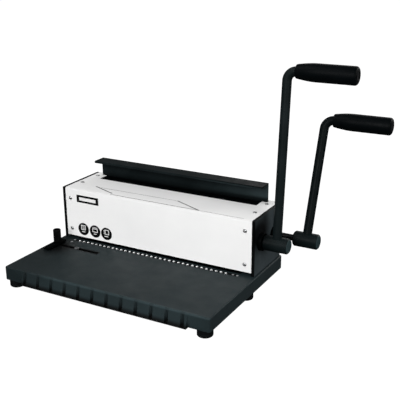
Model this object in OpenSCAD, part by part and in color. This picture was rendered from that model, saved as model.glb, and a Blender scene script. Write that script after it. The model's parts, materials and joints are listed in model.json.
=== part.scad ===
// Desktop binding machine: a hand lever punches a row of square holes, a second lever closes wire loops.
// X runs along the punch row to the right, Y to the back, Z up from the table.

/* [Punch row] */
// Number of punched holes
hole_count = 34; // [24:1:40]
// Distance from hole to hole, three to the inch
hole_pitch = 8.467; // [6.35:0.001:9.6]
// Side of a square punch
punch_side = 4; // [3:0.1:4.4]
// Distance from the cover's front face to the punch row
row_y = 14; // [13.5:0.5:16]
// Paper edge to hole centre
edge_distance = 5; // [4:0.5:6]
// Height of the paper slot
throat_h = 5.2; // [4.8:0.1:5.2]
// Thickness of the die plate
die_t = 6; // [5:0.5:8]
// Thickness of the plate that guides the punches
guide_t = 6; // [5:0.5:7]
// Plate past the last hole at each end
die_end = 16.3; // [16:0.1:18]
// Front to back size of the die and guide plates
die_d = 26; // [25:0.5:27]
// Length of a punch
punch_len = 20.2; // [19:0.1:24]

/* [Base] */
// Tray in front of the housing
tray_d = 149; // [120:1:170]
// Height of the base skirt
skirt_h = 22; // [21:0.5:28]
// Height of the rubber feet
foot_h = 12; // [8:0.5:16]
// Diameter of the rubber feet
foot_d = 23.5; // [18:0.5:25]
// Base past the end frames at each side
base_side = 3.8; // [2:0.1:5]
// Base past the rear panel
base_rear = 1.5; // [1:0.5:4]
// Wall of the moulded base
base_wall = 2.5; // [2:0.1:3]
// Radius of the base's upright corners
corner_r = 4; // [4:0.5:6]
// Radius along the tray's upper edge
tray_edge_r = 2; // [1:0.5:2]
// Number of grooves in the front skirt
groove_count = 12; // [6:1:16]
// Distance from groove to groove
groove_pitch = 25.7; // [18:0.1:28]
// Grooved front past its first and last groove
lip_end = 7; // [5:0.5:12]
// Radius of a groove
groove_r = 3; // [2:0.25:4]
// Depth of a groove at its upper end
groove_depth = 0.6; // [0.3:0.1:1]
// Rim that closes the grooves at their foot
groove_rim = 1.5; // [1:0.1:3]
// Forward lean of the grooved front at its foot
lip_out = 4.5; // [3:0.5:7]
// Drop of the grooved front below the skirt
lip_drop = 1.7; // [0.5:0.1:3]
// Thickness of the bottom plate
bottom_t = 1.5; // [1:0.1:2]

/* [Housing] */
// Room from the last hole to the end frame
side_room = 35.3; // [34:0.1:40]
// Depth of the housing
house_d = 99; // [98:0.5:112]
// Height of the housing above the tray
house_h = 90.5; // [88:0.5:100]
// Cover edge above the tray
cover_gap = 5.3; // [5.2:0.1:7]
// Cover sheet
sheet_t = 1.5; // [1:0.1:2]
// Thickness of the end frames
frame_t = 5; // [4:0.5:6]
// Width of an end frame's inner flanges
flange_w = 17; // [15:0.5:17.5]
// Thickness of an end frame's inner flanges
flange_t = 3; // [2:0.25:4]

/* [Punch drive] */
// Punch shaft behind the cover's front face
punch_axis_y = 22; // [20:0.5:24]
// Punch shaft above the tray
punch_axis_h = 51; // [49:0.5:56]
// Stroke of the punches
punch_stroke = 8; // [7:0.1:8.5]
// Swing of the punch lever
punch_swing = 97; // [90:1:105]
// Backward lean of the punch lever at rest
punch_lean = 4.5; // [0:0.5:15]
// Punch shaft to grip centre
punch_reach = 259; // [220:1:300]
// End frame to punch lever hub
punch_hub_gap = 6.5; // [6.3:0.1:12]
// Radius of a punch cam at the start of its rise
punch_cam_r = 8.5; // [7.5:0.1:9.5]
// Centre of the machine to a punch cam
punch_cam_x = 70; // [30:1:120]

/* [Wire closer] */
// Closing shaft in front of the housing's back
close_axis_in = 28.3; // [27:0.1:31]
// Closing shaft above the tray
close_axis_h = 46.2; // [44:0.1:50]
// Stroke of the closing bar
close_stroke = 20; // [16:0.5:21]
// Swing of the closing lever
close_swing = 95; // [90:1:100]
// Backward lean of the closing lever at rest
close_lean = 19; // [5:0.5:25]
// Closing shaft to grip centre
close_reach = 187.5; // [160:0.5:210]
// End frame to closing lever hub
close_hub_gap = 35.2; // [33:0.1:45]
// Radius of a closing cam at the start of its rise
close_cam_r = 8; // [7.5:0.1:9]
// Centre of the machine to a closing cam
close_cam_x = 100; // [60:1:102]
// Length of the closing bar
bar_len = 321; // [305:1:322]
// Thickness of the closing bar
bar_t = 4; // [3:0.5:4]
// Open jaw between bar and anvil
jaw_gap = 27; // [24:0.5:32]
// Depth of the anvil
anvil_d = 21; // [19:0.5:22]
// Length of the anvil's open face
anvil_len = 302; // [290:1:306]

/* [Levers] */
// Diameter of the lever rods
rod_d = 14; // [12:0.5:15]
// Diameter of the lever hubs
hub_d = 24; // [22:0.5:28]
// Length of the lever hubs
hub_len = 40; // [34:1:46]
// Bend of the rods at the grip
bend_r = 14; // [12:0.5:20]
// Length of the grips
grip_len = 89; // [70:1:110]
// Largest diameter of the grips
grip_d = 26.6; // [25:0.1:32]
// Diameter of the grips at the bend
grip_neck_d = 20.4; // [18:0.2:22]
// Diameter of both shafts
shaft_d = 10; // [9:0.5:11]

/* [Edge guide] */
// Guide slot in front of the cover
guide_y = 36; // [30:0.5:44]
// Travel of the edge guide
guide_travel = 40; // [20:1:44]
// Height of the guide block
guide_h = 5; // [4:0.5:9]
// Height of the knob
knob_h = 22; // [16:0.5:28]
// Diameter of the knob
knob_d = 13; // [10:0.2:14]

/* [Wire pins] */
// Row of wire pins in front of the cover
pin_y = 6.4; // [5:0.2:12]
// Diameter of a pin's head
pin_d = 5; // [3:0.1:5.4]
// Height of a pin's dome above the tray
pin_h = 1.5; // [0.6:0.1:2]

/* [Hidden] */
$fn = 48;

// Clearances
fit = 0.03;
run_fit = 0.05;
slide_gap = 0.3;
cut = 1;

// Widths along the punch row
row_len = (hole_count - 1) * hole_pitch;
die_len = row_len + 2 * die_end;
inner_w = row_len + 2 * side_room;
base_w = inner_w + 2 * frame_t + 2 * base_side;
base_back = house_d + base_rear;
frame_x = inner_w / 2;
flange_x = frame_x - flange_w;
lip_len = (groove_count - 1) * groove_pitch + 2 * lip_end;

// Heights
tray_z = foot_h + skirt_h;
tray_under = tray_z - base_wall;
lip_top = tray_z - tray_edge_r;
bottom_top = foot_h + bottom_t;
house_top = tray_z + house_h;
cover_under = house_top - sheet_t;
cover_foot = tray_z + cover_gap;
die_foot = tray_z - die_t;
throat_top = tray_z + throat_h;
guide_top = throat_top + guide_t;
well_t = 2.5;
well_foot = die_foot - well_t;

// Punch block
die_front = 12;
die_y = row_y - die_front;
stop_y = row_y + edge_distance;
post_d = 5;
post_in = 8;
post_x = die_len / 2 - post_in;
die_screw_d = 4;
die_screw_head = 7;
die_screw_head_t = 3;
die_screw_in = 4;
die_screw_y = die_y + die_d - die_screw_in;
die_screw_x = die_len / 2 - die_screw_in;
chip_slot = 10;
chip_slot_end = 5;

// Punch drive
punch_axis_z = tray_z + punch_axis_h;
bar_d = 12;
bar_stop = 0.6;
bar_foot = guide_top + punch_stroke + bar_stop;
bar_top = punch_axis_z - punch_cam_r - run_fit;
tip_rest = 0.4;
tip_z = throat_top + tip_rest;
cam_w = 12;
punch_rise = punch_stroke / (punch_swing * PI / 180);
punch_wire = 1.2;
punch_coil_r = 3.8;
punch_pocket = 15;
punch_turns = 7;
post_below_bar = 3;

// Wire closer
close_axis_y = house_d - close_axis_in;
close_axis_z = tray_z + close_axis_h;
close_rise = close_stroke / (close_swing * PI / 180);
leg_t = 4;
leg_w = 53;
leg_rear_gap = 0.9;
leg_y = house_d - sheet_t - leg_rear_gap - leg_t;
web_y = leg_y - bar_t;
anvil_y = web_y - 2 * slide_gap - anvil_d;
bar_under = house_top + jaw_gap;
web_overlap = 12.5;
web_foot = house_top - web_overlap;
leg_drop = 1;
leg_top = cover_under - leg_drop;
cam_side_room = 2;
cam_front_room = 4;
foot_top = close_axis_z - close_cam_r - run_fit;
foot_front = close_axis_y - close_rise - cam_front_room;
leg_in = close_cam_x - cam_w / 2 - cam_side_room;
leg_out = leg_in + leg_w;
close_post_d = 8;
close_post_in = 14;
close_post_x = leg_out - close_post_in;
close_post_room = 2.5;
close_post_y = close_axis_y + shaft_d / 2 + close_post_d / 2 + close_post_room;
close_post_over = 8;
close_post_top = foot_top + close_post_over;
close_post_sink = 8;
post_boss_wall = 3;
post_boss_floor = 2;
close_wire = 1.6;
close_coil_r = 6.2;
close_turns = 6;
leg_screw_d = 4;
leg_screw_in = 10;

// Bearings and levers
frame_out = frame_x + frame_t;
bush_d = 14;
bush_flange_d = 20;
bush_flange_t = 3;
blind = frame_t - 2;
cap_d = 28;
cap_t = 6;
socket_depth = 3;
hub_floor = 8;
bore_depth = hub_len - hub_floor;
hub_chamfer = 2;
punch_hub_x = frame_out + punch_hub_gap;
close_hub_x = frame_out + close_hub_gap;
punch_rod_x = punch_hub_x + hub_len / 2;
close_rod_x = close_hub_x + hub_len / 2;
grip_floor = 20;
stub_len = grip_len - grip_floor;
grip_taper = 30;
grip_round = 4;
grip_cap_d = grip_d - 2 * grip_round;
grip_cap_seat = 2;
grip_cap_proud = 0.5;
grip_cap_step = 1;
set_screw_d = 5;
set_screw_sink = 0.5;

// Cover, frames and screws
screw_d = 4;
head_d = 6.4;
head_t = 2;
cover_r = 2.5;
fold_in = cover_r - sheet_t;
screw_in = 11;
screw_low = 18.2;
screw_high = 72.8;
top_screw_y = 34.5;
anvil_screw_in = 9;
anvil_screw_y = anvil_y + anvil_d - anvil_screw_in;
anvil_screw_len = 8;
anvil_room = 3;
flange_room = 1;
top_flange_end = anvil_y - anvil_room;
flange_foot = guide_top + flange_room;
bolt_d = 5;
bolt_head = 9;
bolt_head_t = 3;
bolt_len = 10.5;
nut_t = 4;
bolt_end = 8;
bolt_front_y = 44;
bolt_rear_in = 14;
bolt_y = [bolt_front_y, house_d - bolt_rear_in];
rear_screw_h = [28, 66];
anvil_t = 10;
anvil_foot = cover_under - anvil_t;
anvil_face_drop = 0.3;

// Edge guide
paper_margin = 22.3;
guide_stop_x = -(row_len / 2 + paper_margin);
guide_w = 13;
guide_fore = 30;
guide_aft = 15;
guide_screw_d = 6;
knob_x = guide_stop_x - guide_w / 2;
knob_chamfer = 1.5;
flute_count = 14;
flute_d = 2;
flute_out = 0.5;
flute_foot = 3;
stud_out = 33.5;
stud_x = guide_stop_x + stud_out;
stud_head = 9;
stud_head_t = 2.2;
slot_w = guide_screw_d + 2 * slide_gap;
strip_t = 2.7;
strip_w = 15;
strip_end = 7;
strip_top = tray_under - slide_gap;

// Wire pins
rail_over = 15;
rail_w = 6;
rail_sink = 1;
pin_stem = 2.4;

// Chip drawer
drawer_ahead = 12.5;
drawer_over = 8;
drawer_room = 0.7;
drawer_y = row_y - drawer_ahead;
drawer_d = 29;
drawer_top = well_foot - drawer_room;
drawer_end = row_len / 2 + drawer_over;
drawer_wall = 1.5;
drawer_front = 8;
drawer_scoop_r = 4.5;
drawer_scoop_w = 16;
runner_t = 2.5;
runner_top = well_foot;

// Feet
foot_front_in = 12;
foot_side_in = 13.8;
foot_rear_in = 14;
foot_rear_side_in = 30;
foot_front_y = tray_d - foot_front_in;
foot_x = base_w / 2 - foot_side_in;
foot_mid_y = 7;
foot_rear_x = base_w / 2 - foot_rear_side_in;
foot_rear_y = house_d - foot_rear_in;
foot_step = 1.5;
foot_screw_d = 4;
foot_screw_head = 8;
foot_screw_head_t = 2;
foot_screw_grip = 6;
foot_recess = 4;
boss_d = 10;
boss_floor = 4;
feet_at = [for (s = [-1, 1]) each [[s * foot_x, -foot_front_y], [s * foot_x, -foot_mid_y],
    [s * foot_rear_x, foot_rear_y]]];

// Middle of the machine's outline, with both levers at rest
outline_right = close_rod_x + bend_r + grip_len + grip_cap_proud;
outline_back = close_axis_y + close_reach * sin(close_lean) + grip_d / 2;
mid_x = (outline_right - base_w / 2) / 2;
mid_y = (outline_back - tray_d - lip_out) / 2;

// Shape helpers
module placed() {
    translate([-mid_x, -mid_y, 0]) children();
}

module both_sides() {
    children();
    mirror([1, 0, 0]) children();
}

// A flat shape drawn in Y and Z, drawn out along X
module along_x(x0, x1) {
    translate([x0, 0, 0]) rotate([90, 0, 90]) linear_extrude(x1 - x0) children();
}

module rod_x(d, x0, x1) {
    translate([x0, 0, 0]) rotate([0, 90, 0]) cylinder(d = d, h = x1 - x0);
}

module rod_y(d, y0, y1) {
    translate([0, y0, 0]) rotate([-90, 0, 0]) cylinder(d = d, h = y1 - y0);
}

module rod_z(d, z0, z1) {
    translate([0, 0, z0]) cylinder(d = d, h = z1 - z0);
}

module block(x0, x1, y0, y1, z0, z1) {
    translate([x0, y0, z0]) cube([x1 - x0, y1 - y0, z1 - z0]);
}

module each_hole() {
    for (i = [0 : hole_count - 1]) translate([i * hole_pitch - row_len / 2, 0, 0]) children();
}

// Pan head screw along -Z with its seat at z = 0
module pan_screw(d, head, thick, len) {
    rod_z(d, -len, 0);
    intersection() {
        rod_z(head, 0, thick);
        translate([0, 0, thick - head * 0.75]) sphere(d = head * 1.5);
    }
}

// Outline of a cam whose flat follower drops by rise per radian of turn
function toward(a) = [-sin(a), -cos(a)];
function across(a) = [-cos(a), sin(a)];
function cam_outline(r0, rise, swing) =
    let (peak = r0 + rise * swing * PI / 180,
        tip = norm([peak, rise]),
        start = swing + atan2(rise, peak) + acos(r0 / tip))
    concat(
        [for (i = [0 : 24]) let (a = swing * i / 24)
            (r0 + rise * a * PI / 180) * toward(a) + rise * across(a)],
        [for (i = [0 : 20]) r0 * toward(start + (360 - start) * i / 20)]);

module cam(r0, rise, swing, x) {
    difference() {
        along_x(x - cam_w / 2, x + cam_w / 2) polygon(cam_outline(r0, rise, swing));
        rod_x(shaft_d + 2 * fit, x - cam_w, x + cam_w);
    }
}

// Coil spring standing on z = 0, one unbroken tube
function coil_point(r, h, turns, t) = [r * cos(360 * turns * t), r * sin(360 * turns * t), h * t];
function coil_ring(r, h, turns, t, wire) =
    let (a = 360 * turns * t, out = [cos(a), sin(a), 0], up = [0, 0, 1])
        [for (k = [0 : 5]) coil_point(r, h, turns, t) + wire / 2 * (cos(60 * k) * out + sin(60 * k) * up)];

module coil(r, len, turns, wire) {
    steps = turns * 8;
    h = len - wire;
    points = [for (i = [0 : steps]) each coil_ring(r, h, turns, i / steps, wire)];
    sides = [for (i = [0 : steps - 1]) for (k = [0 : 5]) let (n = (k + 1) % 6)
        each [[6 * i + k, 6 * i + n, 6 * i + 6 + k], [6 * i + n, 6 * i + 6 + n, 6 * i + 6 + k]]];
    ends = [for (k = [1 : 4]) each [[0, k + 1, k], [6 * steps, 6 * steps + k, 6 * steps + k + 1]]];
    translate([0, 0, wire / 2]) polyhedron(points, concat(sides, ends));
}

function coil_gap(r, len, turns, wire) = let (steps = turns * 8, h = len - wire)
    min([for (i = [0 : steps]) for (j = [i + 5 : 1 : steps])
        norm(coil_point(r, h, turns, i / steps) - coil_point(r, h, turns, j / steps))]) - wire;

punch_coil_len = bar_foot + punch_pocket - guide_top - slide_gap;
close_coil_len = foot_top - leg_t - tray_z - slide_gap;
echo(punch_spring_gap = coil_gap(punch_coil_r, punch_coil_len, punch_turns, punch_wire));
echo(closing_spring_gap = coil_gap(close_coil_r, close_coil_len, close_turns, close_wire));

// Base
module base_corner() {
    rotate_extrude($fn = 32) {
        square([corner_r - tray_edge_r, skirt_h]);
        square([corner_r, skirt_h - tray_edge_r]);
        translate([corner_r - tray_edge_r, skirt_h - tray_edge_r]) circle(tray_edge_r, $fn = 24);
    }
}

module front_lip() {
    along_x(-lip_len / 2, lip_len / 2) polygon([
        [-tray_d + base_wall, lip_top],
        [-tray_d, lip_top],
        [-tray_d - lip_out, foot_h - lip_drop],
        [-tray_d + base_wall, foot_h - lip_drop]]);
}

// Upright grooves in the leaning front, so each one deepens towards its foot
module lip_grooves() {
    low = foot_h - lip_drop + groove_rim;
    for (i = [0 : groove_count - 1])
        translate([(i + 0.5 - groove_count / 2) * groove_pitch, groove_depth - groove_r - tray_d, 0]) {
            rod_z(2 * groove_r, low, lip_top - groove_r);
            block(-groove_r, groove_r, -lip_out - groove_r, 0, low, lip_top - groove_r);
            translate([0, 0, lip_top - groove_r]) sphere(groove_r);
        }
}

module base_outside() {
    side = base_w / 2 - corner_r;
    difference() {
        union() {
            hull() for (x = [-side, side]) for (y = [corner_r - tray_d, base_back - corner_r])
                translate([x, y, foot_h]) base_corner();
            front_lip();
        }
        lip_grooves();
    }
}

module base_well(grow, foot, top) {
    out = slide_gap + grow;
    block(-die_len / 2 - out, die_len / 2 + out, die_y - out, die_y + die_d + out, foot, top);
}

module base_tray() color([0.21, 0.24, 0.25]) placed() difference() {
    union() {
        difference() {
            base_outside();
            block(-base_w / 2 + base_wall, base_w / 2 - base_wall, -tray_d + base_wall,
                base_back - base_wall, foot_h - cut, tray_under);
        }
        base_well(well_t, well_foot, tray_z);
        for (p = feet_at) translate(p) rod_z(boss_d, bottom_top, tray_under);
        both_sides() translate([close_post_x, close_post_y, 0])
            rod_z(close_post_d + 2 * post_boss_wall, tray_z - close_post_sink - post_boss_floor, tray_under);
    }
    base_well(0, die_foot, tray_z + cut);
    block(-row_len / 2 - chip_slot_end, row_len / 2 + chip_slot_end, row_y - chip_slot / 2,
        row_y + chip_slot / 2, well_foot - cut, tray_z);
    both_sides() translate([die_screw_x, die_screw_y, 0])
        rod_z(die_screw_d + 2 * fit, well_foot - cut, tray_z);
    for (p = feet_at) translate(p) rod_z(foot_screw_d + 2 * fit, bottom_top - cut, tray_under - boss_floor);
    both_sides() translate([close_post_x, close_post_y, 0])
        rod_z(close_post_d + 2 * fit, tray_z - close_post_sink, tray_z + cut);
    both_sides() for (y = bolt_y) translate([frame_x - flange_w / 2, y, 0])
        rod_z(bolt_d + 2 * fit, tray_under - cut, tray_z + cut);
    block(-base_w / 2 - cut, -base_w / 2 + base_wall + cut, drawer_y - slide_gap,
        drawer_y + drawer_d + slide_gap, bottom_top, drawer_top + slide_gap);
    guide_slot(tray_under - cut, tray_z + cut);
    rail_block(tray_z + cut);
}

module square_between(x0, x1, y0, y1) {
    translate([x0, y0]) square([x1 - x0, y1 - y0]);
}

module drawer_runners() color([0.3, 0.31, 0.32]) placed()
    for (y = [drawer_y - slide_gap - runner_t, drawer_y + drawer_d + slide_gap])
        block(-base_w / 2 + base_wall, drawer_end + slide_gap, y, y + runner_t, bottom_top, runner_top);

module guide_slot(z0, z1) {
    first = knob_x - slide_gap;
    last = stud_x + guide_travel + slide_gap;
    for (x = [first, last]) translate([x, -guide_y, 0]) rod_z(slot_w, z0, z1);
    block(first, last, -guide_y - slot_w / 2, -guide_y + slot_w / 2, z0, z1);
}

module bottom_plate() color([0.35, 0.36, 0.37]) placed() difference() {
    block(-base_w / 2 + base_wall, base_w / 2 - base_wall, -tray_d + base_wall, base_back - base_wall,
        foot_h, bottom_top);
    for (p = feet_at) translate(p) rod_z(foot_screw_d + 2 * fit, foot_h - cut, bottom_top + cut);
}

module feet() color([0.06, 0.06, 0.06]) placed() for (p = feet_at) translate(p) difference() {
    union() {
        rod_z(foot_d, foot_step, foot_h);
        rod_z(foot_d - 2 * foot_step, 0, foot_step);
    }
    rod_z(foot_screw_head + 2 * slide_gap, -cut, foot_recess);
    rod_z(foot_screw_d + 2 * fit, 0, foot_h + cut);
}

module foot_screws() color("silver") placed() for (p = feet_at) translate(p) {
    rod_z(foot_screw_head, foot_recess - foot_screw_head_t, foot_recess);
    rod_z(foot_screw_d, foot_recess, bottom_top + foot_screw_grip);
}

// Housing
module end_frame_body() {
    block(frame_x, frame_out, 0, house_d, tray_z, house_top);
    block(flange_x, frame_x, sheet_t, sheet_t + flange_t, flange_foot, cover_under - fold_in);
    block(flange_x, frame_x, sheet_t + fold_in, top_flange_end, cover_under - flange_t, cover_under);
    block(flange_x, frame_x, bolt_front_y - bolt_end, house_d - sheet_t, tray_z, tray_z + flange_t);
    block(flange_x, frame_x, house_d - sheet_t - flange_t, house_d - sheet_t, tray_z,
        anvil_foot - anvil_room);
}

module end_frame_holes() {
    for (h = [screw_low, screw_high]) translate([frame_x - screw_in, 0, tray_z + h])
        rod_y(screw_d + 2 * fit, -cut, sheet_t + flange_t + cut);
    translate([frame_x - screw_in, top_screw_y, 0])
        rod_z(screw_d + 2 * fit, cover_under - flange_t - cut, house_top + cut);
    for (y = bolt_y) translate([frame_x - flange_w / 2, y, 0])
        rod_z(bolt_d + 2 * fit, tray_z - cut, tray_z + flange_t + cut);
    for (h = rear_screw_h) translate([frame_x - flange_w / 2, 0, tray_z + h])
        rod_y(screw_d + 2 * fit, house_d - sheet_t - flange_t - cut, house_d);
    translate([0, anvil_y + anvil_d / 2, anvil_foot + anvil_t / 2]) {
        rod_x(bolt_d + 2 * fit, frame_x - cut, frame_out + cut);
        rod_x(bolt_head + 2 * fit, frame_out - bolt_head_t, frame_out + cut);
    }
}

module at_shafts() {
    translate([0, punch_axis_y, punch_axis_z]) children();
    translate([0, close_axis_y, close_axis_z]) children();
}

module end_frame_right() color([0.22, 0.24, 0.25]) placed() difference() {
    end_frame_body();
    end_frame_holes();
    at_shafts() rod_x(bush_d + 2 * fit, frame_x - cut, frame_out + cut);
}

module end_frame_left() color([0.22, 0.24, 0.25]) placed() mirror([1, 0, 0]) difference() {
    end_frame_body();
    end_frame_holes();
    at_shafts() rod_x(bush_d + 2 * fit, frame_x - cut, frame_x + blind);
}

module frame_bolts() color("silver") placed() both_sides() for (y = bolt_y)
    translate([frame_x - flange_w / 2, y, tray_z + flange_t])
        pan_screw(bolt_d, bolt_head, bolt_head_t, bolt_len);

module frame_nuts() color("silver") placed() both_sides() for (y = bolt_y)
    translate([frame_x - flange_w / 2, y, 0]) difference() {
        translate([0, 0, tray_under - nut_t]) cylinder(d = bolt_head, h = nut_t, $fn = 6);
        rod_z(bolt_d + 2 * fit, tray_under - nut_t - cut, tray_under + cut);
    }

// Sheet folded over the front and top, rounded along the fold
module cover_section(inset, r) {
    top = house_top - inset;
    difference() {
        square_between(inset, house_d + inset, cover_foot - inset, top);
        square_between(inset - cut, inset + r, top - r, top + cut);
    }
    intersection() {
        translate([inset + r, top - r]) circle(r);
        square_between(inset, inset + r, top - r, top);
    }
}

module cover() color([0.93, 0.93, 0.92]) placed() difference() {
    along_x(-frame_x, frame_x) difference() {
        cover_section(0, cover_r);
        cover_section(sheet_t, fold_in);
    }
    block(-anvil_len / 2 - slide_gap, anvil_len / 2 + slide_gap, anvil_y - slide_gap,
        anvil_y + anvil_d + 2 * slide_gap, cover_under - cut, house_top + cut);
    block(-bar_len / 2 - slide_gap, bar_len / 2 + slide_gap, web_y - slide_gap, web_y + bar_t + slide_gap,
        cover_under - cut, house_top + cut);
    both_sides() for (h = [screw_low, screw_high]) translate([frame_x - screw_in, 0, tray_z + h])
        rod_y(screw_d + 2 * fit, -cut, sheet_t + cut);
    both_sides() for (y = [top_screw_y, anvil_screw_y]) translate([frame_x - screw_in, y, 0])
        rod_z(screw_d + 2 * fit, cover_under - cut, house_top + cut);
}

module cover_screws() color([0.6, 0.6, 0.6]) placed() both_sides() {
    for (h = [screw_low, screw_high]) translate([frame_x - screw_in, 0, tray_z + h]) rotate([90, 0, 0])
        pan_screw(screw_d, head_d, head_t, sheet_t + flange_t);
    for (y = [top_screw_y, anvil_screw_y]) translate([frame_x - screw_in, y, house_top])
        pan_screw(screw_d, head_d, head_t, sheet_t + flange_t);
}

module rear_panel() color([0.22, 0.24, 0.25]) placed() difference() {
    block(-frame_x, frame_x, house_d - sheet_t, house_d, tray_z, cover_under);
    both_sides() for (h = rear_screw_h) translate([frame_x - flange_w / 2, 0, tray_z + h])
        rod_y(screw_d + 2 * fit, house_d - sheet_t - cut, house_d + cut);
}

module rear_screws() color([0.6, 0.6, 0.6]) placed() both_sides() for (h = rear_screw_h)
    translate([frame_x - flange_w / 2, house_d, tray_z + h]) rotate([-90, 0, 0])
        pan_screw(screw_d, head_d, head_t, sheet_t + flange_t);

module anvil_bar() color([0.07, 0.07, 0.07]) placed() difference() {
    union() {
        block(-frame_x, frame_x, anvil_y, anvil_y + anvil_d, anvil_foot, cover_under);
        block(-anvil_len / 2, anvil_len / 2, anvil_y, anvil_y + anvil_d, cover_under - cut,
            house_top - anvil_face_drop);
    }
    both_sides() translate([frame_x - screw_in, anvil_screw_y, 0])
        rod_z(screw_d + 2 * fit, cover_under - flange_t - cut, house_top + cut);
    both_sides() translate([0, anvil_y + anvil_d / 2, anvil_foot + anvil_t / 2])
        rod_x(bolt_d + 2 * fit, frame_x - anvil_screw_len - slide_gap, frame_x + cut);
}

module anvil_screws() color("silver") placed() both_sides()
    translate([0, anvil_y + anvil_d / 2, anvil_foot + anvil_t / 2]) {
        rod_x(bolt_d, frame_x - anvil_screw_len, frame_out - bolt_head_t);
        rod_x(bolt_head, frame_out - bolt_head_t, frame_out);
    }

// Punch block
module square_hole(side, z0, z1) {
    block(-side / 2, side / 2, row_y - side / 2, row_y + side / 2, z0, z1);
}

module die_screw_holes(z0, z1) {
    both_sides() translate([die_screw_x, die_screw_y, 0]) rod_z(die_screw_d + 2 * fit, z0 - cut, z1 + cut);
}

module die_plate() color([0.6, 0.6, 0.62]) placed() difference() {
    block(-die_len / 2, die_len / 2, die_y, die_y + die_d, die_foot, tray_z);
    each_hole() square_hole(punch_side + 2 * run_fit, die_foot - cut, tray_z + cut);
    die_screw_holes(die_foot, tray_z);
}

module throat_spacer() color([0.5, 0.5, 0.52]) placed() difference() {
    block(-die_len / 2, die_len / 2, stop_y, die_y + die_d, tray_z, throat_top);
    die_screw_holes(tray_z, throat_top);
}

module guide_plate() color([0.6, 0.6, 0.62]) placed() difference() {
    block(-die_len / 2, die_len / 2, die_y, die_y + die_d, throat_top, guide_top);
    each_hole() square_hole(punch_side + 2 * run_fit, throat_top - cut, guide_top + cut);
    die_screw_holes(throat_top, guide_top);
    both_sides() translate([post_x, row_y, 0]) rod_z(post_d + 2 * fit, throat_top - cut, guide_top + cut);
}

module die_screws() color("silver") placed() both_sides() translate([die_screw_x, die_screw_y, guide_top])
    pan_screw(die_screw_d, die_screw_head, die_screw_head_t, guide_top - well_foot);

module rail_block(top) {
    half = row_len / 2 + rail_over;
    block(-half, half, -pin_y - rail_w / 2, -pin_y + rail_w / 2, tray_z - rail_sink, top);
}

// The pins stand half a pitch beside the holes, between the loops of the wire
module each_pin() {
    each_hole() translate([-hole_pitch / 2, -pin_y, 0]) children();
}

module pin_rail() color([0.25, 0.27, 0.28]) placed() difference() {
    rail_block(tray_z);
    each_pin() rod_z(pin_stem + 2 * fit, tray_z - rail_sink - cut, tray_z + cut);
}

module wire_pins() color([0.85, 0.86, 0.87]) placed() each_pin() translate([0, 0, tray_z]) {
    dome_r = (pow(pin_d / 2, 2) + pow(pin_h, 2)) / (2 * pin_h);
    rod_z(pin_stem, -rail_sink, 0);
    intersection() {
        rod_z(pin_d, 0, pin_h);
        translate([0, 0, pin_h - dome_r]) sphere(dome_r);
    }
}

// Punch drive
module punch_bar() color([0.45, 0.46, 0.48]) placed() difference() {
    block(-die_len / 2, die_len / 2, row_y - bar_d / 2, row_y + bar_d / 2, bar_foot, bar_top);
    each_hole() square_hole(punch_side, bar_foot - cut, tip_z + punch_len);
    both_sides() translate([post_x, row_y, 0]) {
        rod_z(2 * punch_coil_r + punch_wire + 4 * slide_gap, bar_foot - cut, bar_foot + punch_pocket);
        rod_z(post_d + 2 * run_fit, bar_foot, bar_top + cut);
    }
}

module punches() color([0.75, 0.76, 0.78]) placed() each_hole()
    square_hole(punch_side, tip_z, tip_z + punch_len);

module punch_posts() color("silver") placed() both_sides() translate([post_x, row_y, 0])
    rod_z(post_d, throat_top, bar_top - post_below_bar);

module punch_springs() color([0.7, 0.7, 0.72]) placed() both_sides()
    translate([post_x, row_y, guide_top + slide_gap / 2])
        coil(punch_coil_r, punch_coil_len, punch_turns, punch_wire);

module punch_shaft() color("silver") placed() translate([0, punch_axis_y, punch_axis_z])
    rod_x(shaft_d, -frame_x - blind + slide_gap, punch_hub_x + bore_depth - slide_gap);

module punch_cams() color([0.5, 0.5, 0.52]) placed() translate([0, punch_axis_y, punch_axis_z])
    for (s = [-1, 1]) cam(punch_cam_r, punch_rise, punch_swing, s * punch_cam_x);

module bush(outer_end) {
    difference() {
        union() {
            rod_x(bush_d, frame_x, outer_end);
            rod_x(bush_flange_d, frame_x - bush_flange_t, frame_x);
        }
        rod_x(shaft_d + 2 * run_fit, frame_x - bush_flange_t - cut, frame_out + cut);
    }
}

module shaft_bushes() color([0.72, 0.55, 0.3]) placed() at_shafts() {
    bush(frame_out);
    mirror([1, 0, 0]) bush(frame_x + blind);
}

module bearing_caps() color([0.06, 0.06, 0.06]) placed() at_shafts() difference() {
    rod_x(cap_d, frame_out, frame_out + cap_t);
    rod_x(shaft_d + 2 * slide_gap, frame_out - cut, frame_out + cap_t + cut);
}

// Levers, drawn with the rod upright over the shaft
module lever_at(y, z, lean, x) {
    translate([x, y, z]) rotate([-lean, 0, 0]) children();
}

module lever_hub() {
    half = hub_len / 2;
    difference() {
        rotate([0, 90, 0]) rotate_extrude() polygon([[0, -half], [hub_d / 2 - hub_chamfer, -half],
            [hub_d / 2, hub_chamfer - half], [hub_d / 2, half - hub_chamfer],
            [hub_d / 2 - hub_chamfer, half], [0, half]]);
        rod_x(shaft_d + 2 * fit, -half - cut, bore_depth - half);
        rod_z(rod_d + 2 * fit, hub_d / 2 - socket_depth, hub_d);
        rod_z(set_screw_d + 2 * fit, -hub_d, 0);
    }
}

module lever_rod(reach) {
    rod_z(rod_d, hub_d / 2 - socket_depth, reach - bend_r);
    translate([bend_r, 0, reach - bend_r]) rotate([90, 0, 0]) rotate([0, 0, 90])
        rotate_extrude(angle = 90) translate([bend_r, 0]) circle(d = rod_d);
    translate([0, 0, reach]) rod_x(rod_d, bend_r, bend_r + stub_len);
}

function grip_radius(t) = (grip_neck_d + (grip_d - grip_neck_d) * sin(90 * t)) / 2;

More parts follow.
